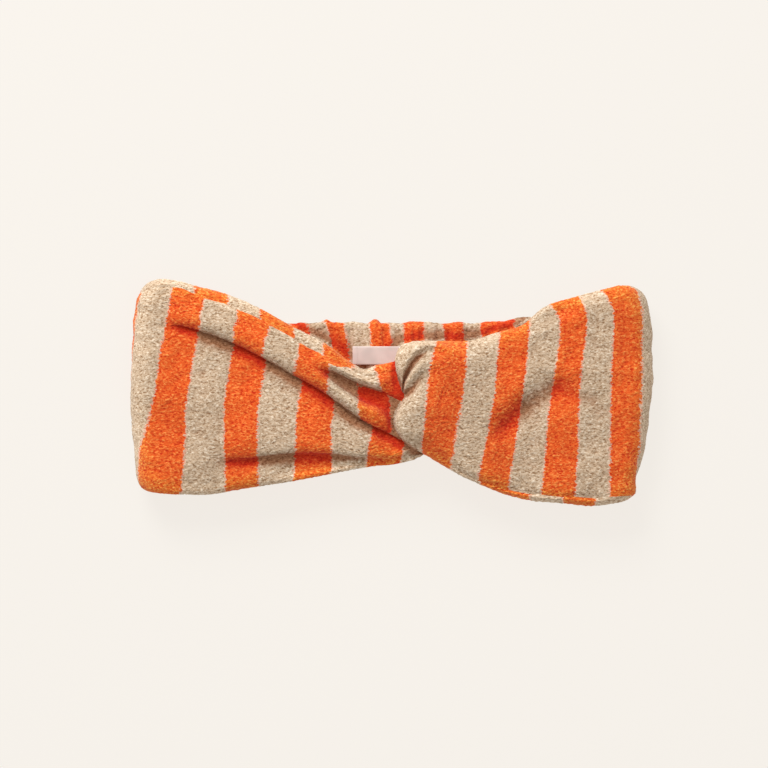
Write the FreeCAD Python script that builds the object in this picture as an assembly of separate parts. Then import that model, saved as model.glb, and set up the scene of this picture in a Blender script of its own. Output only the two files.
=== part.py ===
import FreeCAD, Part
import os

# A twist-front terry headband lying flat, millimetres, +Z up.
# X runs along the band, Y across it. The origin is on the surface it lies on, under the middle
# of the overall outline. The gathered back band lies lowest, each tail leads from it out to a
# side fold, and the two front panels come back over it to the twist in the middle.

# Driving dimensions
HALF_LENGTH = 112.5         # middle to the outside of each side fold
FOLD_HINGE_Z = 9.0          # the fold bends about its outermost line, half way up
SEAM_HINGE_Z = 6.5          # the tails bend about the top of the joining seams
KNOT_HINGE_Z = 12.5         # the panels bend about the underside of the twist
BACK_HALF_LENGTH = 65.0     # middle to each joining seam
KNOT_HALF_LENGTH = 12.5     # middle to each end of the twist
BACK_THICKNESS = 6.5        # gathered casing, pile to pile
BACK_Y_LOW = -2.5           # lower edge of the back band
BACK_Y_HIGH = 30.5          # upper edge of the back band
FRONT_Z = 12.5              # underside of the front panels
WALL = 2.4                  # one layer of terry, backing and both piles
JOINT_GAP = 0.3             # clearance between pieces that bend apart
ELASTIC_WIDTH = 29.4
ELASTIC_THICKNESS = 1.2
LABEL_LENGTH = 34.0
LABEL_HEIGHT = 8.0
LABEL_TAPE = 0.3            # thickness of the label's woven tape
LABEL_FOLD = 4.5            # length of the end folded under
LABEL_Y = 15.7              # middle of the label
THREAD_RADIUS = 0.35
FRONT_SEAM_Z = 15.6         # height of the long seam inside the front panels
TACK_Z = 19.65              # the tack lies between the two strands of the twist
TACK_WIDTH = 0.24

V = FreeCAD.Vector
BACK_Y = (BACK_Y_LOW + BACK_Y_HIGH) / 2
BACK_MID_Z = BACK_THICKNESS / 2
LABEL_Z = BACK_THICKNESS + 0.05


def stadium(x, y_low, y_high, z_low, z_high):
    """Outline of a flattened tube cut across at x, with half-round edges."""
    r = (z_high - z_low) / 2
    z_mid = (z_low + z_high) / 2
    a = V(x, y_low + r, z_low)
    b = V(x, y_high - r, z_low)
    c = V(x, y_high - r, z_high)
    d = V(x, y_low + r, z_high)
    upper_edge = Part.Arc(b, V(x, y_high, z_mid), c).toShape()
    lower_edge = Part.Arc(d, V(x, y_low, z_mid), a).toShape()
    return Part.Wire([Part.makeLine(a, b), upper_edge, Part.makeLine(c, d), lower_edge])


def tube(stations):
    """Closed solid through a row of stadium outlines."""
    return Part.makeLoft([stadium(*s) for s in stations], True, True)


def inset(stations, wall):
    """The same row of outlines, one wall thickness further in."""
    return [(x, y0 + wall, y1 - wall, z0 + wall, z1 - wall) for x, y0, y1, z0, z1 in stations]


def open_past(stations):
    """Moves the first outline 1 mm out through the tube's open end."""
    x, *rest = stations[0]
    outward = 1.0 if x > stations[1][0] else -1.0
    return [(x + outward, *rest)] + stations[1:]


def sleeve(stations, closed_rows):
    """Terry tube, open at its first outline and folded shut over its last rows."""
    hollow = inset(stations[:len(stations) - closed_rows], WALL)
    return tube(stations).cut(tube(open_past(hollow)))


def thread(points, z, width=2 * THREAD_RADIUS):
    """One seam's thread, a narrow level strip through points (x, y), mitred where it turns."""
    path = [V(x, y, z - width / 2) for x, y in points]
    runs = [(q - p).normalize() for p, q in zip(path, path[1:])]
    edges = []
    for point, before, after in zip(path, runs[:1] + runs, runs + runs[-1:]):
        across = V(-before.y - after.y, before.x + after.x, 0).normalize()
        half = width / 2 / across.dot(V(-before.y, before.x, 0))
        edges.append((point + across * half, point - across * half))
    outline = [a for a, b in edges] + [b for a, b in reversed(edges)]
    return Part.Face(Part.makePolygon(outline + outline[:1])).extrude(V(0, 0, width))


def back_casing():
    """Gathered terry casing, a sleeve that is open at both joining seams."""
    half = BACK_HALF_LENGTH - JOINT_GAP / 2
    ends = [(x, BACK_Y_LOW, BACK_Y_HIGH, 0, BACK_THICKNESS) for x in (-half, half)]
    slot = Part.makeBox(2 * half + 2, ELASTIC_WIDTH + 1.8, ELASTIC_THICKNESS + 0.4)
    slot.translate(V(-half - 1, BACK_Y - slot.BoundBox.YLength / 2, BACK_MID_Z - slot.BoundBox.ZLength / 2))
    return tube(ends).cut(slot)


def elastic_band():
    """Flat woven elastic that fills the casing's slot."""
    length = 2 * (BACK_HALF_LENGTH - 2.5)
    band = Part.makeBox(length, ELASTIC_WIDTH, ELASTIC_THICKNESS)
    band.translate(V(-length / 2, BACK_Y - ELASTIC_WIDTH / 2 + 0.6, BACK_MID_Z - ELASTIC_THICKNESS / 2))
    return band


def casing_seam_thread():
    """Long seam of the casing, inside its lower edge beside the elastic."""
    half = BACK_HALF_LENGTH - 3.0
    y = BACK_Y - ELASTIC_WIDTH / 2 - 0.2
    return thread([(-half, y), (half, y)], BACK_MID_Z)


def joining_thread(side):
    """Seam that closes one end of the casing over the end of the elastic."""
    x = side * (BACK_HALF_LENGTH - 1.3)
    return thread([(x, BACK_Y_LOW + 1.8), (x, BACK_Y_HIGH - 1.8)], BACK_MID_Z)


def woven_label():
    """Blank tape label, both ends folded under."""
    half = LABEL_LENGTH / 2
    top = LABEL_Z + 3 * LABEL_TAPE
    under = half - LABEL_FOLD
    profile = [(-half, LABEL_Z), (-under, LABEL_Z), (-under, LABEL_Z + LABEL_TAPE),
               (-half + LABEL_TAPE, LABEL_Z + LABEL_TAPE), (-half + LABEL_TAPE, top - LABEL_TAPE),
               (half - LABEL_TAPE, top - LABEL_TAPE), (half - LABEL_TAPE, LABEL_Z + LABEL_TAPE),
               (under, LABEL_Z + LABEL_TAPE), (under, LABEL_Z), (half, LABEL_Z), (half, top), (-half, top)]
    y = LABEL_Y - LABEL_HEIGHT / 2
    corners = [V(x, y, z) for x, z in profile]
    face = Part.Face(Part.makePolygon(corners + corners[:1]))
    return face.extrude(V(0, LABEL_HEIGHT, 0))


def label_stitches():
    """A short row of stitches across each end of the label."""
    stitch, pitch, count = 1.4, 2.0, 4
    top = LABEL_Z + 3 * LABEL_TAPE + 0.02
    bars = []
    for side in (-1, 1):
        for i in range(count):
            bar = Part.makeBox(0.4, stitch, 0.25)
            y = LABEL_Y + (i - (count - 1) / 2) * pitch - stitch / 2
            bar.translate(V(side * (LABEL_LENGTH / 2 - 1.8) - 0.2, y, top))
            bars.append(bar)
    return Part.makeCompound(bars)


def left_tail():
    """Terry tube from the left joining seam out to the left fold, narrowing into gathers."""
    return sleeve([(-BACK_HALF_LENGTH - JOINT_GAP / 2, BACK_Y_LOW, BACK_Y_HIGH, 0, BACK_THICKNESS),
                   (-78, -14, 36, 0, BACK_THICKNESS), (-90, -33, 44, 0, BACK_THICKNESS),
                   (-104, -42.5, 47.5, 0, BACK_THICKNESS), (-109, -37, 41.5, 0.9, 8.0),
                   (-111.5, -26, 31, 2.6, 8.7), (-HALF_LENGTH, -12, 17, 5.0, FOLD_HINGE_Z - JOINT_GAP / 2)], 3)


def left_front_panel():
    """Terry tube from the twist to the left fold, its top edge rolled forward."""
    return sleeve([(-KNOT_HALF_LENGTH - JOINT_GAP / 2, -32.6, 9.6, FRONT_Z, 20.5),
                   (-28, -35.3, 20.4, FRONT_Z, 21), (-43, -38.3, 28.2, FRONT_Z, 20.5),
                   (-56, -40.3, 35.4, FRONT_Z, 20), (-71, -42.6, 42, FRONT_Z, 19.5),
                   (-84, -44, 45.6, FRONT_Z, 19.2), (-99.6, -43.8, 48.9, FRONT_Z, 18.8),
                   (-105.5, -42.6, 46.5, 12.0, 18.2), (-109.2, -36.5, 42, 10.9, 17.2),
                   (-111.6, -22, 27, 9.8, 15.6), (-HALF_LENGTH, -12, 17, FOLD_HINGE_Z + JOINT_GAP / 2, 13.2)], 4)


def right_front_panel():
    """Terry tube from the twist to the right fold, its seam under the lower edge."""
    return sleeve([(KNOT_HALF_LENGTH + JOINT_GAP / 2, -28.2, 20.8, FRONT_Z, 27.5),
                   (20.6, -30.9, 21.3, FRONT_Z, 25.5), (32, -36.8, 21.9, FRONT_Z, 23),
                   (46, -43, 26, FRONT_Z, 20.8), (58.4, -46.4, 29, FRONT_Z, 19.8),
                   (65.7, -47, 37.4, FRONT_Z, 19.4), (76.4, -47.8, 40.4, FRONT_Z, 19.2),
                   (88, -48.9, 43.3, FRONT_Z, 19), (100.7, -48, 45.4, FRONT_Z, 18.8),
                   (105.6, -41, 43.8, 12.0, 18.2), (109.2, -22, 38, 10.9, 17.2),
                   (111.6, -6, 29, 9.8, 15.6), (HALF_LENGTH, 2, 22, FOLD_HINGE_Z + JOINT_GAP / 2, 13.2)], 4)


def right_tail():
    """Terry tube from the right fold back in to the right joining seam."""
    return sleeve([(BACK_HALF_LENGTH + JOINT_GAP / 2, BACK_Y_LOW, BACK_Y_HIGH, 0, BACK_THICKNESS),
                   (78, -16, 34, 0, BACK_THICKNESS), (90, -36, 40.5, 0, BACK_THICKNESS),
                   (103, -43, 44, 0, BACK_THICKNESS), (109, -24, 38, 0.9, 8.0),
                   (111.5, -8, 29, 2.6, 8.7), (HALF_LENGTH, 2, 22, 5.0, FOLD_HINGE_Z - JOINT_GAP / 2)], 3)


def knot_under_strand():
    """The left tube squeezed together where it passes under the twist."""
    end = KNOT_HALF_LENGTH - JOINT_GAP / 2
    return tube([(-end, -32.6, 9.6, FRONT_Z, 20.5), (-4, -31.3, 13.3, FRONT_Z, 20),
                 (4, -30.2, 14.5, FRONT_Z, 19.5), (end, -28.4, 16, FRONT_Z, 19.5)])


def knot_over_strand():
    """The right tube wrapped over the twist, its end rolled under."""
    end = KNOT_HALF_LENGTH - JOINT_GAP / 2
    return tube([(0.6, -17, 11, 21, 24), (2.5, -22, 15.5, 19.8, 26), (6, -25, 18, 19.8, 27.5),
                 (end, -28.2, 20.8, 19.8, 28)])


def knot_tack_thread():
    """Hand tack between the two strands that keeps the twist in place."""
    return thread([(4.5, -6), (4.5, 6)], TACK_Z, TACK_WIDTH)


def left_front_seam_thread():
    """Long seam inside the left panel, just below its rolled top edge."""
    return thread([(-24, 11), (-43, 21.5), (-68, 34.5), (-98, 41)], FRONT_SEAM_Z)


def right_front_seam_thread():
    """Long seam inside the right panel, just above its lower edge."""
    return thread([(24, -26), (46, -36.5), (72, -42), (98, -42.4)], FRONT_SEAM_Z)


def tail_seam_thread(side):
    """The same long seam where it runs back inside a tail."""
    return thread([(side * 68, BACK_Y + 9), (side * 82, BACK_Y + 12), (side * 100, BACK_Y + 20)], BACK_MID_Z)


NODES = {
    "back_casing": back_casing(),
    "elastic_band": elastic_band(),
    "casing_seam_thread": casing_seam_thread(),
    "left_joining_thread": joining_thread(-1),
    "right_joining_thread": joining_thread(1),
    "woven_label": woven_label(),
    "label_stitches": label_stitches(),
    "left_tail": left_tail(),
    "left_tail_seam_thread": tail_seam_thread(-1),
    "left_front_panel": left_front_panel(),
    "left_front_seam_thread": left_front_seam_thread(),
    "knot_under_strand": knot_under_strand(),
    "knot_over_strand": knot_over_strand(),
    "knot_tack_thread": knot_tack_thread(),
    "right_front_panel": right_front_panel(),
    "right_front_seam_thread": right_front_seam_thread(),
    "right_tail": right_tail(),
    "right_tail_seam_thread": tail_seam_thread(1),
}

os.makedirs("parts", exist_ok=True)
for name, shape in NODES.items():
    box = shape.BoundBox
    print(f"{name}: valid {shape.isValid()}, solids {len(shape.Solids)}, volume {shape.Volume:.0f} mm3, "
          f"x {box.XMin:.1f} {box.XMax:.1f}, y {box.YMin:.1f} {box.YMax:.1f}, z {box.ZMin:.1f} {box.ZMax:.1f}")
    shape.exportStep(f"parts/{name}.step")
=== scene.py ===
import math
import bpy
import numpy as np
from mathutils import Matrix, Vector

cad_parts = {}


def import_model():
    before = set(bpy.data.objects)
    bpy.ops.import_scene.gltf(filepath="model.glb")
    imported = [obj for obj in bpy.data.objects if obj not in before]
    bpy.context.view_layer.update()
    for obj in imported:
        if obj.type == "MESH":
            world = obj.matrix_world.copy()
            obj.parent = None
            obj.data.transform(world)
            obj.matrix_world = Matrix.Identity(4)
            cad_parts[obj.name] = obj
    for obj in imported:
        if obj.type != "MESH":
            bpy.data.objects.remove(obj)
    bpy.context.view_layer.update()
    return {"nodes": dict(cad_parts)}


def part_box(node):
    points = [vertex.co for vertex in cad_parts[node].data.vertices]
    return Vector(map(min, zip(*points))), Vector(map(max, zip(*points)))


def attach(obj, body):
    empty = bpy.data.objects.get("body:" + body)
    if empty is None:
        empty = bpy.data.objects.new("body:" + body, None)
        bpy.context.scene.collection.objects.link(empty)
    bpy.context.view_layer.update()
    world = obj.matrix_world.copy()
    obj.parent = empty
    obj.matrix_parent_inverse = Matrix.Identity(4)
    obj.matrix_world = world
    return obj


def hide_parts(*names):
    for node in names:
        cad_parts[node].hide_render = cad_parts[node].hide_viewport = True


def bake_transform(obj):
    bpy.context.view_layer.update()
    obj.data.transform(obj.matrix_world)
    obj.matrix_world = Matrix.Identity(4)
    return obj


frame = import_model()

# Lengths in this script are millimetres in the CAD's frame, and MM turns them into metres.
MM = 0.001


def node_box(name):
    """Lowest and highest corner of a CAD node, in millimetres."""
    low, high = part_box(name)
    return np.array(low) / MM, np.array(high) / MM


# Places taken from the CAD
BACK_LOW, BACK_HIGH = node_box("back_casing")
PANEL_LOW = node_box("left_front_panel")[0]
KNOT_LOW = node_box("knot_under_strand")[0]
LABEL_LOW, LABEL_HIGH = node_box("woven_label")
HALF_LENGTH = -PANEL_LOW[0]                     # middle to the outside of each fold
SEAM_X = BACK_HIGH[0]                           # the joining seams
BACK_THICK = BACK_HIGH[2]
FRONT_UNDER = KNOT_LOW[2]                       # underside of the front panels

# The fold: both layers of the tube turn back round a half circle
FRONT_MID = FRONT_UNDER + 3.6                   # middle of the tube's thickness in front
BACK_MID = BACK_THICK / 2                       # and behind
TURN_R = (FRONT_MID - BACK_MID) / 2
TURN_Z = (FRONT_MID + BACK_MID) / 2
TURN_X = HALF_LENGTH - TURN_R - 3.1             # centre of the half circle
TURN_END = TURN_X + math.pi * TURN_R            # where the tail starts, along the cloth
SEAM_S = TURN_END + TURN_X - SEAM_X             # where the tail meets the casing

FINE = 0.5                                      # mesh size where the cloth is seen
COARSE = 1.0                                    # and on its underside
SPLIT_FRONT = 97.0                              # where the fold's piece meets the panel's
SPLIT_TAIL = TURN_END + TURN_X - 84.0           # and the tail's, along the cloth
SHIFT_START = 78.0                              # where the side folds begin to lean


# ---------------------------------------------------------------- curves and noise

def curve(*points):
    """Smooth function through (x, y) points, level past its two ends."""
    xs, ys = np.array(points, float).T
    slopes = np.gradient(ys, xs)

    def at(x):
        x = np.clip(np.asarray(x, float), xs[0], xs[-1])
        i = np.clip(np.searchsorted(xs, x) - 1, 0, len(xs) - 2)
        h = xs[i + 1] - xs[i]
        t = (x - xs[i]) / h
        a = ys[i] * (1 + 2 * t) * (1 - t) ** 2 + h * slopes[i] * t * (1 - t) ** 2
        b = ys[i + 1] * t * t * (3 - 2 * t) + h * slopes[i + 1] * t * t * (t - 1)
        return a + b
    return at


def ease(x, start, end):
    """0 before start, 1 after end, smooth between."""
    t = np.clip((np.asarray(x, float) - start) / (end - start), 0, 1)
    return t * t * (3 - 2 * t)


def mix(a, b, w):
    return a + (b - a) * w


def corner_value(ix, iy, iz, x, y, z, seed):
    """One lattice corner's share of gradient noise."""
    h = (ix * 73856093) ^ (iy * 19349663) ^ (iz * 83492791) ^ (seed * 2654435761)
    h = (h ^ (h >> 13)) * 1274126177 & 0xFFFFFFFF
    h = (h ^ (h >> 16)) * 2246822519 & 0xFFFFFFFF
    gx, gy, gz = (((h >> k) & 1023) / 511.5 - 1 for k in (0, 10, 20))
    return gx * x + gy * y + gz * z


def noise(points, size, seed=0):
    """Gradient noise, about -1 to 1, with lumps about size across."""
    p = np.asarray(points, float) / size
    cell = np.floor(p).astype(np.int64)
    f = p - cell
    w = f * f * f * (f * (f * 6 - 15) + 10)
    total = 0
    for dx in (0, 1):
        for dy in (0, 1):
            for dz in (0, 1):
                share = np.abs(1 - dx - w[..., 0]) * np.abs(1 - dy - w[..., 1]) * np.abs(1 - dz - w[..., 2])
                total = total + share * corner_value(
                    cell[..., 0] + dx, cell[..., 1] + dy, cell[..., 2] + dz,
                    f[..., 0] - dx, f[..., 1] - dy, f[..., 2] - dz, seed)
    return total * 1.5


# ---------------------------------------------------------------- cloth surfaces

def closed_spline(rails, counts):
    """Closed centripetal Catmull-Rom curves across rails of shape (rails, stations, 3).
    Returns points (stations, columns, 3) and each column's place among the rails."""
    m = len(rails)
    columns, places = [], []
    for i in range(m):
        p0, p1, p2, p3 = (rails[(i + k) % m] for k in (-1, 0, 1, 2))
        d0, d1, d2 = (np.maximum(np.linalg.norm(b - a, axis=-1, keepdims=True), 1e-3) ** 0.5
                      for a, b in ((p0, p1), (p1, p2), (p2, p3)))
        out = (p2 - p1) + d1 * ((p1 - p0) / d0 - (p2 - p0) / (d0 + d1))
        into = (p2 - p1) + d1 * ((p3 - p2) / d2 - (p3 - p1) / (d1 + d2))
        for k in range(counts[i]):
            t = k / counts[i]
            columns.append((2 * t**3 - 3 * t**2 + 1) * p1 + (t**3 - 2 * t**2 + t) * out
                           + (3 * t**2 - 2 * t**3) * p2 + (t**3 - t**2) * into)
            places.append(i + t)
    return np.stack(columns, 1), np.array(places)


def column_counts(rails, under_from):
    """Columns between rails, fine on top and coarse from rail under_from on."""
    counts = []
    for i in range(len(rails)):
        length = np.linalg.norm(rails[(i + 1) % len(rails)] - rails[i], axis=-1).max()
        counts.append(max(2, int(round(length / (COARSE if i >= under_from else FINE)))))
    return counts


def round_the_fold(points, side, fold_shift):
    """Carries flat cloth, where x is the distance along it, round the side fold to the back."""
    s, y, z = side * points[..., 0], points[..., 1], points[..., 2]
    out = z - FRONT_MID
    angle = np.clip((s - TURN_X) / TURN_R, 0, math.pi)
    x = np.where(s < TURN_X, s, TURN_X - np.maximum(s - TURN_END, 0))
    x = x + (TURN_R + out) * np.sin(angle)
    high = TURN_Z + (TURN_R + out) * np.cos(angle)
    high = np.where(s < TURN_X, z, high)
    near = ease(s, SHIFT_START, TURN_X) * (1 - ease(s, TURN_END, TURN_END + 22))
    return np.stack([side * (x - near * fold_shift(y)), y, high], -1)


def normals(grid):
    """Unit normals of a closed tube's grid of points (stations, columns, 3)."""
    along = np.gradient(grid, axis=0)
    across = np.roll(grid, -1, 1) - np.roll(grid, 1, 1)
    n = np.cross(along, across)
    return n / np.maximum(np.linalg.norm(n, axis=-1, keepdims=True), 1e-9)


def stripe_depth(along, place, table):
    """How far inside an orange stripe a point is, negative in the sand between stripes.
    table rows are (rail, edges), where edges are the stripes' ends along the cloth."""
    rails = [row[0] for row in table]
    edges = np.array([row[1] for row in table], float)
    ends = [np.interp(place, rails, edges[:, k]) for k in range(edges.shape[1])]
    inside = [np.minimum(along - a, b - along) for a, b in zip(ends[::2], ends[1::2])]
    return np.max(inside, axis=0)


def pile(points):
    """Height of the looped pile, about -1 to 1: tufts with smaller loops on them."""
    swirl = np.stack([noise(points, 4.5, 3), noise(points, 4.5, 4), 0 * points[..., 0]], -1)
    loops = (points + 1.5 * swirl) * np.array([0.58, 1.0, 1.0])
    return 0.6 * noise(loops, 0.95, 1) + 0.5 * noise(loops, 0.66, 2)


def cloth_mesh(name, grid, attributes, material):
    """Mesh object from a tube's grid of points in millimetres, with one float attribute per name."""
    n, k = grid.shape[:2]
    index = np.arange(n * k).reshape(n, k)
    beside = np.roll(index, -1, 1)
    faces = np.stack([index[:-1], index[1:], beside[1:], beside[:-1]], -1).reshape(-1, 4)
    mesh = bpy.data.meshes.new(name)
    mesh.vertices.add(n * k)
    mesh.vertices.foreach_set("co", (grid * MM).astype(np.float32).ravel())
    mesh.loops.add(len(faces) * 4)
    mesh.loops.foreach_set("vertex_index", faces.ravel().astype(np.int32))
    mesh.polygons.add(len(faces))
    mesh.polygons.foreach_set("loop_start", np.arange(0, len(faces) * 4, 4, dtype=np.int32))
    mesh.polygons.foreach_set("use_smooth", np.ones(len(faces), bool))
    mesh.update(calc_edges=True)
    for key, values in attributes.items():
        attribute = mesh.attributes.new(key, "FLOAT", "POINT")
        attribute.data.foreach_set("value", values.astype(np.float32).ravel())
    mesh.materials.append(material)
    piece = bpy.data.objects.new(name, mesh)
    bpy.context.scene.collection.objects.link(piece)
    return piece


PILE_DEPTH = 0.38                               # half the height of the pile's relief
OFF_FLOOR = 0.02                                # the lowest the cloth may come


def raise_pile(grid):
    """Pushes a finished surface out into tufts. Returns it with the tufts' height."""
    tufts = pile(grid)
    grid = grid + normals(grid) * (PILE_DEPTH * tufts)[..., None]
    grid[..., 2] = np.maximum(grid[..., 2], OFF_FLOOR)
    return grid, tufts


def upper_side(flat_grid):
    """1 on the upper layer of a flat tube, 0 underneath."""
    return ease(flat_grid[..., 2], FRONT_MID, FRONT_MID + 2)


def tube(flat_grid, place, side, fold_shift, table):
    """Folds a flat tube into place and works out its stripes."""
    place = np.broadcast_to(place, flat_grid.shape[:2])
    shift = ease(side * flat_grid[..., 0], SHIFT_START, TURN_X) * fold_shift(flat_grid[..., 1])
    stripes = stripe_depth(flat_grid[..., 0] - side * shift, place, table)
    slow = 0.6 * noise(flat_grid, 17, 5) + 0.45 * noise(flat_grid, 6.5, 6)
    rise = slow * upper_side(flat_grid)
    flat_grid = flat_grid + np.stack([0 * slow, 0 * slow, rise], -1)
    return round_the_fold(flat_grid, side, fold_shift), stripes


# ---------------------------------------------------------------- light in the hollows

CELL = 0.5                                      # side of the height map's squares
MAP_LOW = (-118.0, -56.0)                       # its lower left corner
MAP_CELLS = (472, 224)                          # and how many squares it has each way
AROUND = ((2, 0.35), (5, 0.35), (10, 0.35))     # distances looked at, in squares, and their shares
LEE = 3.5                                       # how far towards the light cloth is shaded from


def cells(points):
    """Each point's square in the height map."""
    index = [((points[..., i] - MAP_LOW[i]) / CELL).astype(int) for i in (0, 1)]
    return tuple(np.clip(index[i], 0, MAP_CELLS[i] - 1) for i in (0, 1))


def height_map(grids):
    """The highest cloth over each square of the map, seen from above."""
    height = np.zeros(MAP_CELLS)
    for grid in grids:
        np.maximum.at(height, cells(grid), grid[..., 2])
    around = [np.roll(height, (i, j), (0, 1)) for i in (-1, 0, 1) for j in (-1, 0, 1)]
    return np.max(around, axis=0)


def smoothed(height, reach):
    """The map averaged three times over reach squares each way."""
    for axis in (0, 1) * 3:
        height = sum(np.roll(height, k, axis) for k in range(-reach, reach + 1)) / (2 * reach + 1)
    return height


def sunk_below(grid, height):
    """How far cloth that faces up lies below the cloth around it, in millimetres, which sets the painted
    shade in its colour. It is negative where the cloth stands proud, which gets a painted highlight, and 0
    inside the loop, where real shadows do the work."""
    around = sum(share * smoothed(height, reach)[cells(grid)] for reach, share in AROUND)
    total = sum(share for _, share in AROUND)
    # lee: painted shadow cast by cloth that lies higher towards the light
    lee = smoothed(height, 3)[cells(grid + np.array([0, LEE, 0]))] - grid[..., 2]
    faces_up = ease(normals(grid)[..., 2], -0.1, 0.3)
    covered = ease(height[cells(grid)] - grid[..., 2], 4.5, 7)
    painted_shade = np.minimum(around - total * grid[..., 2], 2.5) + 0.25 * np.clip(lee - 0.5, 0, 4)
    return faces_up * (1 - covered) * painted_shade


def closed_start(grid, stripes):
    """Draws the tube's first row together to a point."""
    point = grid[:1].mean(1, keepdims=True) + 0 * grid[:1]
    return np.concatenate([point, grid]), np.concatenate([stripes[:1], stripes])


def closed_finish(grid, stripes):
    """The same at the tube's last row."""
    grid, stripes = closed_start(grid[::-1], stripes[::-1])
    return grid[::-1], stripes[::-1]


def row_after_cap(s, place):
    """Row of a tube with a closed start where its distance along the cloth reaches place."""
    return 1 + int(np.searchsorted(s, place))


def sheet_of(grid, stripes, shading, cuts, names):
    """A finished surface with its pile raised. It is cut into pieces at the rows in cuts."""
    grid, tufts = raise_pile(grid)
    return {"grid": grid, "stripes": stripes, "tufts": tufts, "shading": shading,
            "cuts": [0, *cuts, len(grid) - 1], "names": names}


def slices(sheet, height, material):
    """Cuts a finished sheet into its pieces. Neighbours share the row between them."""
    # Each point's painted shade, negative where it gets a painted highlight, goes to the colour through an
    # attribute
    painted_shade = sheet["shading"] * sunk_below(sheet["grid"], height)
    pieces = []
    for name, first, last in zip(sheet["names"], sheet["cuts"], sheet["cuts"][1:]):
        rows = slice(first, last + 1)
        values = {"stripe": sheet["stripes"][rows], "pile": sheet["tufts"][rows], "painted_shade_and_highlight": painted_shade[rows]}
        pieces.append(cloth_mesh(name, sheet["grid"][rows], values, material))
    return pieces


# ---------------------------------------------------------------- the left tube

# Lines along the left tube, as Y at each distance along the cloth from the twist: its two edges, the
# rolled edge's lower side, the seam, the lower crease, and the strand's valley and lip at the twist.
left_bottom = curve((-SEAM_S, -2.5), (-150, -10), (-140, -26), (-130, -38), (-122, -42), (-112.8, -42.6),
                    (-105, -43.5), (-99, -44.0), (-91, -44.0), (-79.4, -44.1), (-65.3, -41.8),
                    (-42.5, -38.3), (-10.3, -32.2), (4, -30.0), (10, -28.8), (14, -26.4), (16, -23.5))
left_top = curve((-SEAM_S, 30.5), (-150, 35), (-140, 41), (-130, 45), (-122, 47), (-112.8, 48.0),
                 (-107, 48.6), (-100, 47.8), (-92.5, 46.9), (-84.2, 45.3), (-71.3, 42.1), (-55.6, 35.3),
                 (-43.4, 28.4), (-28.3, 20.6), (-16.1, 11.8), (-11.6, 9.8), (-7.2, 11.4), (-2, 12.4),
                 (0.8, 13.2), (3, 15.5), (14, 16))
ridge = curve((-104, 31), (-96.6, 29.6), (-82.7, 26.6), (-68.7, 21.5), (-53.9, 14.2), (-42.5, 7.7),
              (-29.2, 0.2), (-14.6, -10.5), (0.4, -18.3), (4, -20.2), (9, -19.0), (16, -14))
long_seam = curve((-SEAM_S, 26), (-130, 40), (-112, 42), (-104, 44.8), (-94, 44.8), (-85, 42.0),
                  (-78, 39.8), (-71, 37.6), (-62, 34.0), (-54.5, 30.2), (-43, 23.6), (-35, 18.8),
                  (-29.4, 16.0), (-20, 11.2), (-10, 6.9), (0, 8.6), (14, 9.5))
crease = curve((-104, -31.5), (-71.3, -30.0), (-57.5, -28.4), (-42.5, -26.6), (-26, -26.8), (-10.5, -28.2),
               (3, -28.0), (9, -25.6), (16, -20))
valley = curve((-40, 14.5), (-30.1, 8.6), (-20.2, 3.0), (-14.6, -0.9), (-5.2, -5.2), (1.3, -8.6), (14, -13))
strand_lip = curve((-40, 17.5), (-27, 10.4), (-20, 6.3), (-14.6, 3.6), (-7.3, 1.2), (-1.7, -0.8),
                   (4.3, -3.6), (14, -5))
seam_place = curve((-40, 17), (-31, 16.6), (-26.3, 15.2), (-22, 15.6), (-17.6, 16.7), (-16, 15.2),
                   (-14.2, 13), (-12, 13))      # rail that the long seam runs on
LEFT_END = 16.0                                 # hidden under the right tube
LEFT_UNDER = 21                                 # first rail of the underside
TAIL_START = -112.0                             # past here the section only narrows


def tube_heights(front):
    """Underside and upper side of a flat tube, which is a little fuller in front."""
    thick = mix(6.0, 6.6, front)
    return FRONT_MID - thick / 2, FRONT_MID + thick / 2


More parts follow.
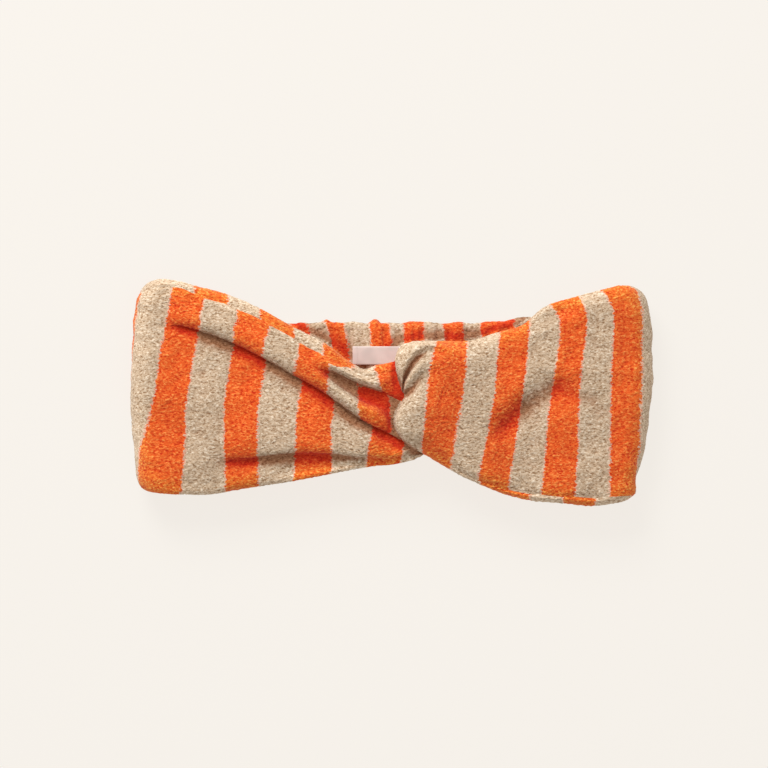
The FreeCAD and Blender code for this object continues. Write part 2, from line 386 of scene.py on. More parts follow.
def left_rails(s):
    """Control points across the left tube at distances s along it, from the lower edge over the top."""
    tail, s = s, np.maximum(s, TAIL_START)      # the tail keeps the fold's section, only narrower
    b, t, r, m, c = (line(s) for line in (left_bottom, left_top, ridge, long_seam, crease))
    lip = ease(s, -101, -80)                    # the rolled edge starts softly
    fold = ease(s, -82, -62)                    # so does the lower crease
    pinch = ease(s, -36, -20)                   # the roll divides in two towards the twist
    sink = ease(s, -9, 3)                       # everything dives under the right tube
    shaded = ease(s, -62, -42)                  # the lower lip tucks further under the crease
    front = ease(s, TAIL_START, -86)            # thin at the fold and behind it
    v = mix(mix(r, m, 0.52), valley(s), pinch)
    k = mix(mix(r, m, 0.62), strand_lip(s), pinch)
    low, high = tube_heights(front)

    def at(y, z):
        share = (y - b) / (t - b)
        return np.stack([tail, mix(left_bottom(tail), left_top(tail), share), z], -1)

    return np.stack([
        at(b, mix(FRONT_MID, 15.0, front)),
        at(b + 1.4, mix(high - 1.0, 17.4, front) - 1.6 * shaded - 0.4 * sink),
        at(mix(b + 5, (b + c) / 2 - 1.6, fold), mix(high, 18.3, front) - 3.0 * shaded - 0.4 * sink),
        at(mix(b + 12, c - 0.6, fold), high - (2.5 + 0.5 * shaded) * fold * front - 0.4 * sink),
        at(mix(b + 20, c + mix(2.2, 1.7, pinch), fold), mix(high, 19.6, front) - 1.6 * sink),
        at(mix(b + 34, mix(c, r, 0.5), mix(0.4, 1, fold)), mix(high, 19.8, front) - 2.2 * sink),
        at(r - mix(6.5, 3.0, lip), mix(high, 18.0, lip) - 1.0 * sink),
        at(r + mix(-3.0, 3.2, lip), mix(high, 16.6, lip)),
        at(r + mix(-1.0, 1.2, lip), mix(high, 17.4, lip) - 0.6 * sink),
        at(r + mix(0.5, -0.3, lip), mix(high, 19.4, lip) - 1.6 * sink),
        at(r + mix(2.5, 1.6, lip), mix(high, 21.6, lip) - 3.6 * sink),
        at(mix(mix(r, m, 0.34), mix(r, v, 0.55), pinch), mix(high, 22.6, lip) - 5.2 * sink),
        at(v, mix(mix(high, 22.4, lip), 17.6, pinch)),
        at(mix(mix(r, m, 0.57), k - 0.3, pinch), mix(mix(high, 22.2, lip), 18.8, pinch) - 0.6 * sink),
        at(mix(mix(r, m, 0.64), k + 0.7, pinch), mix(mix(high, 22.0, lip), 21.0, pinch) - 2.4 * sink),
        at(mix(mix(r, m, 0.8), mix(k, m, 0.5), pinch), mix(mix(high, 21.6, lip), 22.6, pinch) - 3.6 * sink),
        at(m - 1.0, mix(high, 21.2, lip) - 2.8 * sink),
        at(m, mix(high - 0.2, 20.5, lip) - 2.4 * sink),
        at(mix(m, t, 0.35), mix(high - 0.1, 20.3, lip) - 2.2 * sink),
        at(t - mix(1.4, 0.8, lip), mix(high - 0.9, 18.9, lip) - 1.6 * sink),
        at(t, mix(FRONT_MID, 16.8, lip) - 0.4 * sink),
        at(t - 1.6, low + 0.9),
        at(t - 7, low),
        at(mix(t, b, 0.33), low - 0.1 * front),
        at(mix(t, b, 0.66), low - 0.1 * front),
        at(b + 7, low),
        at(b + 1.6, low + 0.9),
    ])


SEAM_RAIL, PAST_SEAM, TOP_RAIL = 17, 17.02, 20  # stripes step across the long seam
# Orange stripes' ends along the cloth, at rails across the left tube. The last row is the first again.
LEFT_STRIPES = [
    (0, (-170, -156, -140, -126, -109.5, -91.4, -71.3, -57.3, -42.5, -26.4, -11.2, 3.5, 19, 33)),
    (3, (-170, -156, -140, -126, -107, -89.6, -71.5, -57.5, -41.6, -26.0, -10.8, 3.9, 19, 33)),
    (4, (-168, -154, -138, -124, -106, -88.8, -71.8, -57.8, -41.2, -26.1, -10.4, 4.2, 19, 33)),
    (5, (-166, -152, -129, -114, -102.6, -88.5, -71.8, -57.6, -40.8, -26.2, -9.4, 4.5, 20, 34)),
    (6, (-163, -149, -123.5, -109.6, -97.6, -83.4, -67.9, -54.0, -38.6, -24.8, -8.4, 5.2, 20, 34)),
    (7, (-161, -147, -123, -109.3, -96.8, -82.8, -67.2, -53.5, -38.4, -24.6, -8.4, 5.2, 20, 34)),
    (9, (-160, -146, -122.5, -108.8, -96.6, -82.8, -68.2, -56.0, -42.3, -28.3, -13.7, -0.7, 16, 30)),
    (12, (-160, -145, -121.5, -108.1, -95.4, -81.8, -67.0, -54.4, -40.6, -27.4, -14.2, -0.4, 18, 32)),
    (SEAM_RAIL, (-158, -144, -120, -106.2, -93.8, -80.4, -65.1, -51.8, -39.0, -26.8, -14.8, -1.6, 24, 38)),
    (PAST_SEAM, (-170, -156, -150, -138, -123, -107.5, -84.6, -70.4, -56.3, -42.1, -29.6, -18.2, -4, 10)),
    (TOP_RAIL, (-170, -156, -150, -138, -123, -109.5, -84.6, -70.4, -56.3, -42.1, -29.2, -15.6, -7.7, 6)),
    (27, (-170, -156, -140, -126, -109.5, -91.4, -71.3, -57.3, -42.5, -26.4, -11.2, 3.5, 19, 33)),
]
left_fold_shift = curve((-46, 6.5), (-42.7, 4.6), (-37.6, 2.7), (-31.8, 2.1), (-23.8, 1.3),
                        (-12.9, 0.3), (7.7, 0), (18, 0.4), (33, 1.6), (42, 3.4), (46, 5.8), (50, 9))
FREE_RAIL = 9                                   # rails up to here keep their place


def left_tube():
    """The left half of the front tube: tail, fold and panel."""
    s = np.arange(-SEAM_S, LEFT_END + FINE, FINE)
    rails = left_rails(s)
    flat_grid, place = closed_spline(rails, column_counts(rails, LEFT_UNDER))
    seam = seam_place(flat_grid[..., 0])        # the seam moves to the strand's lower lip
    before = FREE_RAIL + (place - FREE_RAIL) * (SEAM_RAIL - FREE_RAIL) / (seam - FREE_RAIL)
    before = np.where(place > FREE_RAIL, before, place)
    after = PAST_SEAM + (place - seam) * (TOP_RAIL - PAST_SEAM) / (TOP_RAIL - seam)
    after = np.where(place < TOP_RAIL, after, place)
    moved = np.where(place < seam, before, after)
    grid, stripes = closed_finish(*closed_start(*tube(flat_grid, moved, -1, left_fold_shift, LEFT_STRIPES)))
    cuts = [row_after_cap(s, -SPLIT_TAIL), row_after_cap(s, -SPLIT_FRONT)]
    return sheet_of(grid, stripes, 1.0, cuts, ["left_tail_terry", "left_fold_terry", "left_panel_terry"])


# ---------------------------------------------------------------- the right tube

# The same lines along the right tube: its two edges and its long seam, which runs near the lower one.
right_bottom = curve((26, -34), (30, -36.2), (35.6, -38.7), (45.5, -42.9), (58.4, -46.4), (73.4, -47.8),
                     (86.6, -48.9), (100.7, -48.4), (112.8, -46), (122, -43), (130, -39), (140, -27),
                     (150, -11), (SEAM_S, -2.5))
right_top = curve((26, 21.8), (32.2, 21.9), (46.4, 26.0), (55.5, 28.6), (59, 31.0), (62, 34.0),
                  (67, 37.3), (75.4, 40.0), (89.3, 43.3), (97, 44.6), (103.9, 45.7), (112.8, 45.4),
                  (122, 44), (130, 43), (140, 40), (150, 36), (SEAM_S, 32.8))
right_seam = curve((20, -30), (30, -34.8), (40, -39.2), (49.4, -41.9), (63.5, -44.1), (77.7, -45.0),
                   (86.6, -45.3), (101.3, -45.0), (112.8, -43.5), (130, -36), (SEAM_S, 0))
RIGHT_UNDER = 10                                # rail where the underside starts
FAN_END = 30.0                                  # past here the rails run along the tube

# The folds that radiate from the middle of the twist. Each row: how far out, then x, y and z.
FAN = {
    "lower_edge": [(0, 5.4, -2.4, 19.6), (3, 3.0, -6.1, 20.6), (7, 1.1, -11.2, 20.8), (12, 1.9, -16.6, 20.4),
                   (18, 6.2, -22.2, 18.8), (24, 13.6, -26.6, 16.6)],
    "lower_roll": [(0, 5.4, -2.1, 21.4), (3, 3.3, -5.6, 23.6), (7, 1.6, -10.8, 24.6), (12, 2.5, -16.0, 24.6),
                   (18, 6.9, -21.4, 23.0), (24, 14.3, -25.7, 20.2)],
    "seam": [(0, 5.5, -1.9, 21.8), (3, 4.4, -4.9, 25.2), (7, 3.4, -9.9, 26.6), (12, 4.8, -14.6, 26.6),
             (18, 9.2, -19.8, 25.2), (24, 16.4, -24.0, 22.2)],
    "lower_crest": [(0, 5.6, -1.7, 22.0), (3, 6.0, -4.0, 25.7), (7, 6.8, -8.2, 27.1), (12, 8.6, -12.4, 27.2),
                    (18, 12.6, -17.0, 26.4), (24, 19.2, -21.2, 24.0)],
    "lower_mid": [(0, 5.7, -1.5, 21.8), (3, 7.3, -2.4, 25.4), (7, 10.0, -4.2, 27.2), (12, 13.0, -6.6, 27.4),
                  (18, 17.0, -9.8, 26.6), (24, 22.4, -13.8, 24.8)],
    "crease_bc": [(0, 5.6, -1.1, 20.6), (3, 7.6, 0.3, 23.0), (7, 10.9, 3.8, 24.8), (12, 14.4, 8.2, 25.6),
                  (18, 18.6, 8.6, 25.8), (24, 24, 4.0, 24.9)],
    "lobe_b": [(0, 5.1, -0.6, 21.0), (3, 6.1, 3.4, 24.9), (7, 8.7, 7.8, 26.2), (12, 12.5, 12.7, 26.2),
               (18, 18.0, 13.2, 25.6), (24, 24, 10.8, 24.8)],
    "crease_ab": [(0, 4.6, 0.1, 19.6), (3, 5.3, 5.0, 21.0), (7, 7.7, 9.8, 22.0), (12, 11.2, 14.6, 22.5),
                  (18, 16.2, 17.9, 22.6), (24, 22.6, 17.4, 23.4)],
    "lobe_a": [(0, 4.3, 0.6, 20.6), (3, 4.3, 6.4, 23.4), (7, 5.7, 12.0, 24.8), (12, 8.8, 16.6, 24.8),
               (18, 13.2, 19.8, 23.6), (24, 21, 19.6, 22.6)],
    "upper_roll": [(0, 4.1, 0.9, 19.9), (3, 2.9, 6.9, 22.0), (7, 2.3, 12.9, 22.8), (12, 4.4, 18.2, 22.4),
                   (18, 10.2, 21.0, 21.2), (24, 18.9, 21.2, 20.0)],
    "upper_edge": [(0, 3.9, 1.1, 19.0), (3, 2.2, 7.0, 20.0), (7, 1.3, 13.2, 20.2), (12, 3.0, 18.9, 19.4),
                   (18, 8.6, 21.6, 18.4), (24, 17.4, 21.9, 17.2)],
}
UNDER_SHARES = (0.985, 0.85, 0.5, 0.15, 0.015)  # places across the underside, from the upper edge


def right_panel(x):
    """Control points across the right tube where its rails run along it."""
    b, t, m = right_bottom(x), right_top(x), right_seam(x)
    front = 1 - ease(x, 86, 112)                # thinner at the fold and behind it
    swell = 1 - ease(x, 26, 62)                 # the twist's height dies away
    low, high = tube_heights(front)

    def at(y, z):
        return np.stack([x, y, z + 0 * x], -1)

    def top(share, lift):
        return at(mix(b, t, share), high + 0.3 * front + lift * swell)

    def under(share):
        bulge = min(1, 22 * share * (1 - share))
        return at(mix(b, t, share), mix(low + 1.0, low, bulge))

    return [at(b, mix(FRONT_MID, 15.6, front)), at(mix(b, m, 0.6), high - 0.8), at(m, high - 1.0 * front),
            at(m + 2.6, high + 1.6 * swell), top(0.24, 3.4), top(0.44, 4.4), top(0.65, 4.4), top(0.81, 4.0),
            top(0.91, 2.8), at(t - 2.0, high - 0.7 + 1.0 * swell), at(t, mix(FRONT_MID, 16.2, front)),
            *(under(share) for share in UNDER_SHARES)]


def fan_underside(share):
    """Rows of the fan's underside: it lies on the left tube's strands."""
    rows = []
    for low, high in zip(FAN["lower_edge"], FAN["upper_edge"]):
        out = low[0]
        middle = 4 * share * (1 - share)
        x, y, z = (mix(low[i], high[i], share) for i in (1, 2, 3))
        rows.append((out, mix(x, max(x, 5.5 + 0.95 * out), middle), y,
                     mix(z - 1.5, mix(19.4, 15.0, float(ease(out, 10, 26))), middle)))
    return rows


def panel_folds(x, y):
    """Soft folds in the right panel, as millimetres of height."""
    off_fold = (y - 31) - 0.45 * (x - 65)
    high_fold = -1.3 * np.exp(-(off_fold / 3.5) ** 2) * ease(x, 54, 62) * (1 - ease(x, 72, 88))
    across = (0.63 * (x - 60) - 0.78 * (y + 6)) - 0.02 * (x - 60) ** 2 * (x > 60)
    along = 0.78 * (x - 60) + 0.63 * (y + 6)
    reach = ease(along, -26, -14) * (1 - ease(along, 14, 30))
    valley = -2.3 * np.exp(-(across / 5.5) ** 2) + 1.0 * np.exp(-((across + 10) / 6.5) ** 2)
    return high_fold + reach * valley


RIGHT_STRIPES = [  # the same across the right tube; they step at its long seam, near rail 2
    (0, (12.9, 24.7, 38.0, 59.3, 73.6, 86.9, 101.8, 114, 129, 143, 158, 170)),
    (1.99, (13, 25, 38.0, 59.0, 73.4, 86.7, 101.8, 114, 129, 143, 158, 170)),
    (2.01, (13.0, 24.9, 36.9, 49.6, 64, 78.1, 93.2, 103.8, 121, 135, 151, 162)),
    (3, (13.4, 25.6, 37.2, 49.8, 64.2, 78.3, 93.3, 103.9, 121, 135, 151, 162)),
    (4, (14.4, 27.0, 39.5, 51.8, 65.6, 79.4, 93.5, 104.4, 122, 136, 151, 162)),
    (5, (15.9, 28.8, 41.8, 54.0, 66.9, 79.8, 93.8, 105.2, 122, 136, 151, 162)),
    (6, (17.0, 30.4, 44.2, 56.4, 69.8, 80.9, 94.2, 105.9, 122, 136, 150, 160)),
    (7, (18.2, 31.5, 45.0, 57.7, 71.9, 83.0, 95.2, 105.8, 121, 135, 147, 158)),
    (8, (18.9, 31.8, 45.6, 58.5, 72.3, 83.3, 94.8, 105.2, 120, 134, 146, 156)),
    (9, (19.2, 32.0, 46.2, 58.8, 68.8, 80.8, 91.2, 103.9, 119, 133, 144, 156)),
    (10, (19.3, 32.0, 46.4, 59, 67.6, 80.0, 89.0, 102.6, 119, 133, 144, 156)),
    (16, (12.9, 24.7, 38.0, 59.3, 73.6, 86.9, 101.8, 114, 129, 143, 158, 170)),
]
right_fold_shift = curve((-49, 10), (-48, 9.2), (-44.7, 7.8), (-35, 5.8), (-28.3, 4.4), (-14.2, 2.0),
                         (-3.4, 0.9), (13.3, 0), (29.2, 0.9), (35.6, 2.0), (42, 3.5), (44.5, 5.0),
                         (46.5, 7.5))
FAN_FINE = 16.0                                 # from here out to FAN_END the rows are closer


def right_tube():
    """The right half of the front tube: panel with the twist's folds, side fold and tail."""
    s = np.concatenate([np.arange(0, FAN_FINE, FINE), np.arange(FAN_FINE, FAN_END, 0.5 * FINE),
                        np.arange(FAN_END, SEAM_S + FINE, FINE)])
    s[-1] = SEAM_S
    knots = np.append(np.arange(FAN_END, SEAM_S - 1, 2.0), SEAM_S)
    fans = list(FAN.values()) + [fan_underside(share) for share in UNDER_SHARES]
    rails = []
    for fan, panel in zip(fans, right_panel(knots)):
        rows = np.vstack([np.array(fan), np.column_stack([knots, panel])])
        rails.append(np.stack([curve(*rows[:, [0, i]])(s) for i in (1, 2, 3)], -1))
    flat_grid, place = closed_spline(np.stack(rails), column_counts(rails, RIGHT_UNDER))
    lift = panel_folds(flat_grid[..., 0], flat_grid[..., 1]) * upper_side(flat_grid)
    flat_grid[..., 2] += lift
    grid, stripes = add_plug(*tube(flat_grid, place, 1, right_fold_shift, RIGHT_STRIPES))
    grid, stripes = closed_start(grid, stripes)
    cuts = [row_after_cap(s, SPLIT_FRONT), row_after_cap(s, SPLIT_TAIL)]
    return sheet_of(grid, stripes, 1.0, cuts, ["right_panel_terry", "right_fold_terry", "right_tail_terry"])


PLUG_TURN = math.radians(58)                    # how far round the hinge line the tail's end is carried
PLUG_REACH = 0.94                               # its size against the casing's thickness
PLUG_WIDTH = (0.99, 0.92)                       # and against the tail's width, at its start and end


def add_plug(grid, stripes):
    """Carries the tail's end on inside the casing, round the joining seam's hinge line, so that the
    gap that opens there when the tail turns is filled."""
    rows, ends = [grid], [stripes]
    end = grid[-1]
    reach = PLUG_REACH * (BACK_THICK - end[:, 2])
    middle = end[:, 1].mean()
    for share in np.linspace(0.1, 1, 10):
        turn = share * PLUG_TURN
        y = middle + mix(*PLUG_WIDTH, share) * (end[:, 1] - middle)
        rows.append(np.stack([SEAM_X - reach * np.sin(turn), y, BACK_THICK - reach * np.cos(turn)], -1)[None])
        ends.append(stripes[-1:])
    return np.concatenate(rows), np.concatenate(ends)


# ---------------------------------------------------------------- the gathered casing

CASING_STRIPES = [  # the same across the casing, from its lower edge over the face and back underneath
    (0, (-62, -54, -42.5, -35, -25.3, -18.6, -8.3, 0.6, 5.6, 13.0, 23.0, 31.2, 39, 50, 68, 72)),
    (2.5, (-62, -54, -42.0, -34, -25.3, -18.6, -8.3, 0.6, 5.6, 13.0, 23.0, 31.2, 39, 52, 68, 72)),
    (5, (-62, -54, -43.8, -36.9, -29.6, -21.9, -9.9, -2.1, 4.7, 13.7, 22.3, 30.9, 38.6, 52.8, 68, 72)),
    (9, (-62, -54, -42.5, -35, -25.3, -18.6, -8.3, 0.6, 5.6, 13.0, 23.0, 31.2, 39, 50, 68, 72)),
]
CASING_INSIDE = 1.5                             # the casing's left end tucks this far into the tail


CASING_UNDER = 5                                # rail where the underside starts


def casing_edges(x, gathered):
    """The casing's lower and upper edge, ruffled by the gathers."""
    ruffle = gathered * (0.8 * noise(np.stack([x, 0 * x, 0 * x], -1), 6.5, 11) + 1.3 * bump(x, -28.3, 1.7)
                         + 1.2 * bump(x, -7.5, 1.6) + 0.5 * bump(x, 10, 3.5))
    foot = gathered * 0.9 * noise(np.stack([x, 0 * x, 0 * x + 50], -1), 6.5, 12)
    rise = 2.4 * ease(x, 40, 60)                # the casing stands a little higher at the right seam
    return BACK_LOW[1] + foot, BACK_HIGH[1] - 0.3 - 0.6 * gathered + ruffle + rise


def casing_rails(x, bottom, top):
    """Control points across the casing. Its thickness is pinched at the two joining seams."""
    pinch = mix(np.where(x < 0, 0.7, 0.25), 0, ease(SEAM_X - np.abs(x), -1, 4))
    rails = []
    for share, z in ((0, 0.5), (0.06, 0.84), (0.3, 1), (0.7, 1), (0.94, 0.84), (1, 0.5), (0.94, 0.14),
                     (0.5, 0), (0.06, 0.14)):
        rails.append(np.stack([x, mix(bottom, top, share),
                               np.clip(z * BACK_THICK, pinch, BACK_THICK - pinch)], -1))
    return np.stack(rails)


def gather_folds(grid, sway):
    """Small folds across the casing, different on its face and underneath."""
    upper = ease(grid[..., 2], BACK_MID - 1, BACK_MID + 1)
    places = np.stack([sway, 0.16 * grid[..., 1], 30 * (1 - upper)], -1)
    return noise(places, 5.2, 13) * 0.75 + 0.4 * noise(places, 2.9, 15)


def casing():
    """The back casing, gathered over its elastic."""
    x = np.arange(-SEAM_X - CASING_INSIDE, SEAM_X + FINE, FINE)
    x[-1] = SEAM_X
    gathered = ease(SEAM_X - np.abs(x), 0, 9)
    bottom, top = casing_edges(x, gathered)
    rails = casing_rails(x, bottom, top)
    grid, place = closed_spline(rails, column_counts(rails, CASING_UNDER))
    sway = grid[..., 0] + 1.2 * noise(grid * np.array([0.4, 1, 0]), 12, 14)
    folds = gather_folds(grid, sway)
    edge = np.minimum(grid[..., 1] - bottom[:, None], top[:, None] - grid[..., 1])
    at_edge, inside = 0.5 * folds + 0.4, 2.1 * folds - 0.6
    depth = gathered[:, None] * mix(at_edge, inside, ease(edge, 0.3, 3.5))
    grid = grid + normals(grid) * depth[..., None]
    stripes = stripe_depth(sway, np.broadcast_to(place, sway.shape), CASING_STRIPES)
    return sheet_of(grid, stripes, 0.5, [], ["back_casing_terry"])


def bump(x, middle, width):
    return np.exp(-((x - middle) / width) ** 2)


# ---------------------------------------------------------------- the label

def label(material):
    """The blank woven label: a flat tape with its ends folded under, lying on the casing."""
    low, high = LABEL_LOW, LABEL_HIGH
    x = np.linspace(low[0], high[0], 140)
    y = np.linspace(low[1], high[1], 34)
    gx, gy = np.meshgrid(x, y, indexing="ij")
    rise = 0.3 * noise(np.stack([gx, gy * 0.3, 0 * gx], -1), 8, 21)
    end = np.minimum(gx - low[0], high[0] - gx)
    side = np.minimum(gy - low[1], high[1] - gy)
    rounded = np.sqrt(np.clip(end / 0.6, 0, 1)) * np.sqrt(np.clip(side / 0.4, 0, 1))
    hem = 0.16 * (1 - ease(end, 1.9, 2.3))      # the folded end is double
    half = 0.05 + 0.3 * rounded + hem
    middle = high[2] + 0.05 + rise * ease(end, 1, 6)
    front = np.stack([gx, gy, middle + half], -1)
    back = np.stack([gx, gy, middle - half], -1)[:, ::-1]
    return cloth_mesh("blank_label", np.concatenate([front, back], 1), {}, material)


# ---------------------------------------------------------------- materials

def new_material(name):
    material = bpy.data.materials.new(name)
    material.use_nodes = True
    nodes = material.node_tree.nodes
    return material, nodes, material.node_tree.links, nodes["Principled BSDF"]


def noise_texture(nodes, links, scale, detail):
    """A noise node that reads the piece's own coordinates."""
    node = nodes.new("ShaderNodeTexNoise")
    node.inputs["Scale"].default_value = scale
    node.inputs["Detail"].default_value = detail
    where = nodes.new("ShaderNodeTexCoord")
    links.new(where.outputs["Object"], node.inputs["Vector"])
    return node


def maths(nodes, links, operation, *values):
    node = nodes.new("ShaderNodeMath")
    node.operation = operation
    for socket, value in zip(node.inputs, values):
        if isinstance(value, (int, float)):
            socket.default_value = value
        else:
            links.new(value, socket)
    return node.outputs[0]


def span(nodes, links, value, low, high, out_low=0.0, out_high=1.0):
    node = nodes.new("ShaderNodeMapRange")
    node.interpolation_type = "SMOOTHSTEP"
    links.new(value, node.inputs["Value"])
    for socket, number in zip(("From Min", "From Max", "To Min", "To Max"), (low, high, out_low, out_high)):
        node.inputs[socket].default_value = number
    return node.outputs["Result"]


def blend_colour(nodes, links, factor, a, b, mode="MIX"):
    node = nodes.new("ShaderNodeMix")
    node.data_type = "RGBA"
    node.blend_type = mode
    if isinstance(factor, (int, float)):
        node.inputs["Factor"].default_value = factor
    else:
        links.new(factor, node.inputs["Factor"])
    for socket, value in zip(("A", "B"), (a, b)):
        socket = [i for i in node.inputs if i.name == socket and i.type == "RGBA"][0]
        if isinstance(value, tuple):
            socket.default_value = value
        else:
            links.new(value, socket)
    return [o for o in node.outputs if o.type == "RGBA"][0]


def rgb(code):
    """Linear colour from a hex code."""
    parts = [int(code[i:i + 2], 16) / 255 for i in (1, 3, 5)]
    return tuple(((c + 0.055) / 1.055) ** 2.4 if c > 0.04045 else c / 12.92 for c in parts) + (1.0,)


# Each yarn's own colour with a painted-shade copy for between the loops and a painted-highlight copy for the
# loop tips
ORANGE_LOOP_SHADE, ORANGE, ORANGE_TIP_HIGHLIGHT = rgb("#C62E06"), rgb("#E75F21"), rgb("#FC9C50")
SAND_LOOP_SHADE, SAND, SAND_TIP_HIGHLIGHT = rgb("#937050"), rgb("#CAAF92"), rgb("#EFDDC6")
# Painted shade for hollows and painted highlight for proud folds: tints multiplied into the cloth's colour
ORANGE_PAINTED_SHADE, SAND_PAINTED_SHADE = rgb("#E08A86"), rgb("#D0A890")         # tints of the light that reaches hollows
ORANGE_PAINTED_HIGHLIGHT, SAND_PAINTED_HIGHLIGHT = (1.04, 1.45, 1.3, 1), (1.17, 1.19, 1.2, 1)   # and folds that stand proud
FRINGE = rgb("#F2AE98")                                         # sand loops that orange shows through


def tuft_colour(nodes, links, height, dark, middle, light):
    """Painted shade between the loops, painted highlight on their tips."""
    low = blend_colour(nodes, links, span(nodes, links, height, -0.75, 0.0), dark, middle)
    return blend_colour(nodes, links, span(nodes, links, height, 0.05, 0.9), low, light)


def terry_material():
    material, nodes, links, shader = new_material("striped_terry")
    stripe = nodes.new("ShaderNodeAttribute")
    stripe.attribute_name = "stripe"
    tuft = nodes.new("ShaderNodeAttribute")
    tuft.attribute_name = "pile"
    painted_shade_and_highlight = nodes.new("ShaderNodeAttribute")
    painted_shade_and_highlight.attribute_name = "painted_shade_and_highlight"
    ragged = loops(noise_texture(nodes, links, 1000, 2), nodes, links)
    fine = loops(noise_texture(nodes, links, 1600, 3), nodes, links)
    broad = noise_texture(nodes, links, 45, 2)
    shake = maths(nodes, links, "MULTIPLY", maths(nodes, links, "SUBTRACT", ragged.outputs["Fac"], 0.5), 3.8)
    edge = maths(nodes, links, "ADD", stripe.outputs["Fac"], shake)
    grain = maths(nodes, links, "MULTIPLY", maths(nodes, links, "SUBTRACT", fine.outputs["Fac"], 0.5), 4.2)
    height = maths(nodes, links, "ADD", maths(nodes, links, "MULTIPLY", tuft.outputs["Fac"], 0.5), grain)
    orange = tuft_colour(nodes, links, height, ORANGE_LOOP_SHADE, ORANGE, ORANGE_TIP_HIGHLIGHT)
    sand = tuft_colour(nodes, links, height, SAND_LOOP_SHADE, SAND, SAND_TIP_HIGHLIGHT)
    fringe = span(nodes, links, edge, -0.9, -0.1, 0, 0.55)
    sand = blend_colour(nodes, links, fringe, sand, FRINGE)
    is_orange = span(nodes, links, edge, -0.12, 0.12)
    colour = blend_colour(nodes, links, is_orange, sand, orange)
    # Painted shade: where the cloth lies below its surroundings its colour is darkened and reddened
    painted_shade = span(nodes, links, painted_shade_and_highlight.outputs["Fac"], 0.05, 1.5)
    painted_shade_tint = blend_colour(nodes, links, is_orange, SAND_PAINTED_SHADE, ORANGE_PAINTED_SHADE)
    colour = blend_colour(nodes, links, painted_shade, colour, painted_shade_tint, "MULTIPLY")
    # Painted highlight: where the cloth stands proud, proud and raised lighten its colour
    proud = span(nodes, links, maths(nodes, links, "MULTIPLY", painted_shade_and_highlight.outputs["Fac"], -1.0), 0.0, 1.7)
    raised = blend_colour(nodes, links, is_orange, SAND_PAINTED_HIGHLIGHT, ORANGE_PAINTED_HIGHLIGHT)
    colour = blend_colour(nodes, links, proud, colour, raised, "MULTIPLY")
    shade = span(nodes, links, broad.outputs["Fac"], 0.3, 0.7, 0.92, 1.04)
    colour = blend_colour(nodes, links, 1.0, colour, grey(nodes, links, shade), "MULTIPLY")
    links.new(colour, shader.inputs["Base Color"])
    shader.inputs["Roughness"].default_value = 0.92
    shader.inputs["Specular IOR Level"].default_value = 0.1
    shader.inputs["Sheen Weight"].default_value = 0.12
    shader.inputs["Sheen Roughness"].default_value = 0.6
    add_bump(nodes, links, shader, fine.outputs["Fac"], 0.35, 0.0006)
    return material


def loops(noise_node, nodes, links):
    """Draws a noise out into the short curls of looped pile."""
    stretch = nodes.new("ShaderNodeMapping")
    stretch.inputs["Scale"].default_value = (0.55, 1.0, 1.0)
    links.new(noise_node.inputs["Vector"].links[0].from_socket, stretch.inputs["Vector"])
    links.new(stretch.outputs["Vector"], noise_node.inputs["Vector"])
    noise_node.inputs["Distortion"].default_value = 0.8
    return noise_node


def grey(nodes, links, value):
    node = nodes.new("ShaderNodeCombineColor")
    for socket in node.inputs:
        links.new(value, socket)
    return node.outputs[0]


def add_bump(nodes, links, shader, height, strength, distance):
    node = nodes.new("ShaderNodeBump")
    node.inputs["Strength"].default_value = strength
    node.inputs["Distance"].default_value = distance
    links.new(height, node.inputs["Height"])
    links.new(node.outputs["Normal"], shader.inputs["Normal"])


def woven_material(name, colour, across, along):
    """A fine plain weave for the label and the elastic."""
    material, nodes, links, shader = new_material(name)
    where = nodes.new("ShaderNodeTexCoord")
    ribs = []
    for direction, per_metre in (("X", along), ("Y", across)):
        wave = nodes.new("ShaderNodeTexWave")
        wave.bands_direction = direction
        wave.inputs["Scale"].default_value = per_metre
        links.new(where.outputs["Object"], wave.inputs["Vector"])
        ribs.append(wave.outputs["Fac"])
    weave = maths(nodes, links, "MULTIPLY", ribs[0], ribs[1])
    # Soft random patches of painted shade, darkening the weave by up to 14 percent
    painted_shade_patches = noise_texture(nodes, links, 130, 1)
    uneven = span(nodes, links, painted_shade_patches.outputs["Fac"], 0.35, 0.65, 0.86, 1.0)
    tint = maths(nodes, links, "MULTIPLY", span(nodes, links, weave, 0, 1, 0.95, 1.05), uneven)
    links.new(blend_colour(nodes, links, 1.0, colour, grey(nodes, links, tint), "MULTIPLY"),
              shader.inputs["Base Color"])
    shader.inputs["Roughness"].default_value = 0.75
    add_bump(nodes, links, shader, weave, 0.3, 0.0002)
    return material


def thread_material(name, colour):
    """Twisted sewing thread."""
    material, nodes, links, shader = new_material(name)
    twist = noise_texture(nodes, links, 3000, 1)
    tint = span(nodes, links, twist.outputs["Fac"], 0.3, 0.7, 0.85, 1.05)
    links.new(blend_colour(nodes, links, 1.0, colour, grey(nodes, links, tint), "MULTIPLY"),
              shader.inputs["Base Color"])
    shader.inputs["Roughness"].default_value = 0.6
    return material


# ---------------------------------------------------------------- stage

PAPER = rgb("#F7F2EB")
CAMERA_AT = (-3.44 * MM, 3.44 * MM, 1.4)        # straight above, as the photograph was taken
VIEW_WIDTH = 329.8 * MM                         # width of the picture at the cloth's height
CLOTH_HEIGHT = 15 * MM
KEY_PLACE, KEY_SIZE, KEY_WATTS = (-0.45, 1.05, 0.85), 0.7, 18.5
SKY_STRENGTH = 0.52


def camera():
    data = bpy.data.cameras.new("camera")
    data.sensor_width = 36.0
    data.lens = data.sensor_width * (CAMERA_AT[2] - CLOTH_HEIGHT) / VIEW_WIDTH
    item = bpy.data.objects.new("camera", data)
    item.location = CAMERA_AT
    bpy.context.scene.collection.objects.link(item)
    bpy.context.scene.camera = item


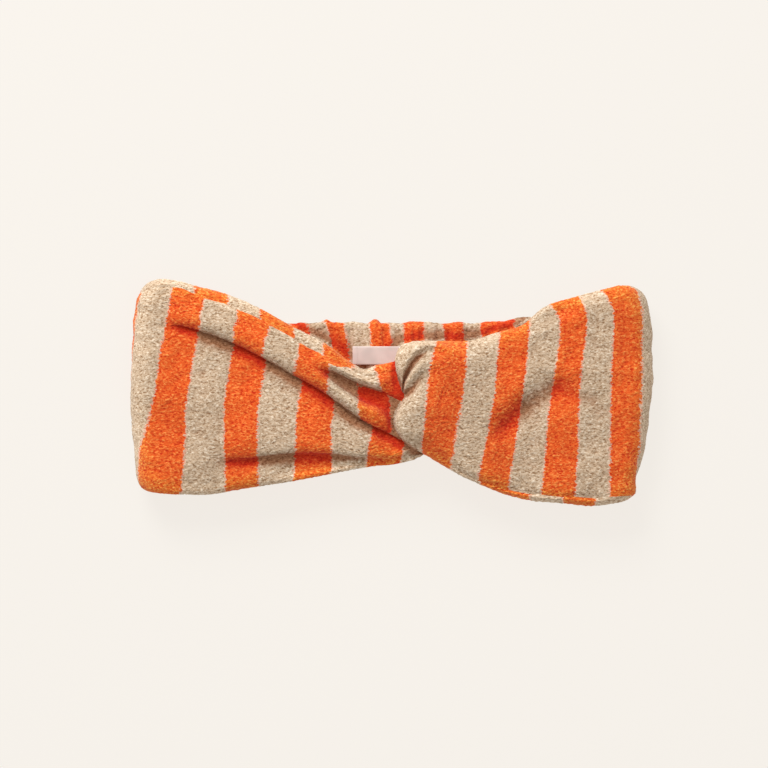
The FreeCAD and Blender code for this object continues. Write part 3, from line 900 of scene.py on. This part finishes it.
def floor():
    mesh = bpy.data.meshes.new("floor")
    mesh.from_pydata([(-3, -3, 0), (3, -3, 0), (3, 3, 0), (-3, 3, 0)], [], [(0, 1, 2, 3)])
    material, _, _, shader = new_material("paper")
    glow = 0.88             # most of the paper's light is its own, so shadows stay faint
    shader.inputs["Base Color"].default_value = tuple(c * (1 - glow) for c in PAPER[:3]) + (1,)
    shader.inputs["Roughness"].default_value = 1.0
    shader.inputs["Specular IOR Level"].default_value = 0.0
    shader.inputs["Emission Color"].default_value = PAPER
    shader.inputs["Emission Strength"].default_value = glow
    mesh.materials.append(material)
    item = bpy.data.objects.new("floor", mesh)
    bpy.context.scene.collection.objects.link(item)


def light(name, place, size, watts):
    """A square lamp that points at the middle of the cloth."""
    data = bpy.data.lights.new(name, "AREA")
    data.size = size
    data.energy = watts
    item = bpy.data.objects.new(name, data)
    item.location = place
    bpy.context.scene.collection.objects.link(item)
    x, y, z = place
    item.rotation_euler = (math.atan2(math.hypot(x, y), z), 0, math.atan2(x, -y))


def world(strength):
    scene = bpy.context.scene
    scene.world = bpy.data.worlds.new("studio")
    scene.world.use_nodes = True
    background = scene.world.node_tree.nodes["Background"]
    background.inputs["Color"].default_value = (1.0, 0.985, 0.965, 1)
    background.inputs["Strength"].default_value = strength
    scene.view_settings.view_transform = "Standard"


# ---------------------------------------------------------------- assembly

LABEL_COLOUR = rgb("#E8D6CE")
ELASTIC_COLOUR = rgb("#F1EEE6")
SEAM_THREAD_COLOUR, LABEL_THREAD_COLOUR = rgb("#D9C7A8"), rgb("#E8DAD2")
FINE_WEAVE, COARSE_WEAVE = 900, 300             # scale of the weave's ribs


def build():
    cloth = terry_material()
    left, right, rear = left_tube(), right_tube(), casing()
    height = height_map([sheet["grid"] for sheet in (left, right, rear)])
    left_tail, left_fold, left_panel = slices(left, height, cloth)
    right_panel_piece, right_fold, right_tail = slices(right, height, cloth)
    back, = slices(rear, height, cloth)
    tape = label(woven_material("label_tape", LABEL_COLOUR, FINE_WEAVE, FINE_WEAVE))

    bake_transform(back)
    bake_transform(left_tail)
    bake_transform(left_fold)
    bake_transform(left_panel)
    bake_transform(right_panel_piece)
    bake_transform(right_fold)
    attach(right_tail, "right_tail")
    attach(tape, "back_band")

    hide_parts("back_casing")
    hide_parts("left_tail")
    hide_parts("left_front_panel", "knot_under_strand")
    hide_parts("right_front_panel", "knot_over_strand", "knot_tack_thread")
    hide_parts("right_tail")
    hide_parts("woven_label")

    paint_cad()


def paint_cad():
    """Gives the CAD pieces that stay in the picture their materials."""
    thread = thread_material("seam_thread", SEAM_THREAD_COLOUR)
    fine_thread = thread_material("label_thread", LABEL_THREAD_COLOUR)
    elastic = woven_material("woven_elastic", ELASTIC_COLOUR, COARSE_WEAVE, FINE_WEAVE)
    for name, item in frame["nodes"].items():
        chosen = elastic if name == "elastic_band" else fine_thread if name == "label_stitches" else thread
        item.data.materials.clear()
        item.data.materials.append(chosen)


build()
camera()
floor()
light("key", KEY_PLACE, KEY_SIZE, KEY_WATTS)
world(SKY_STRENGTH)
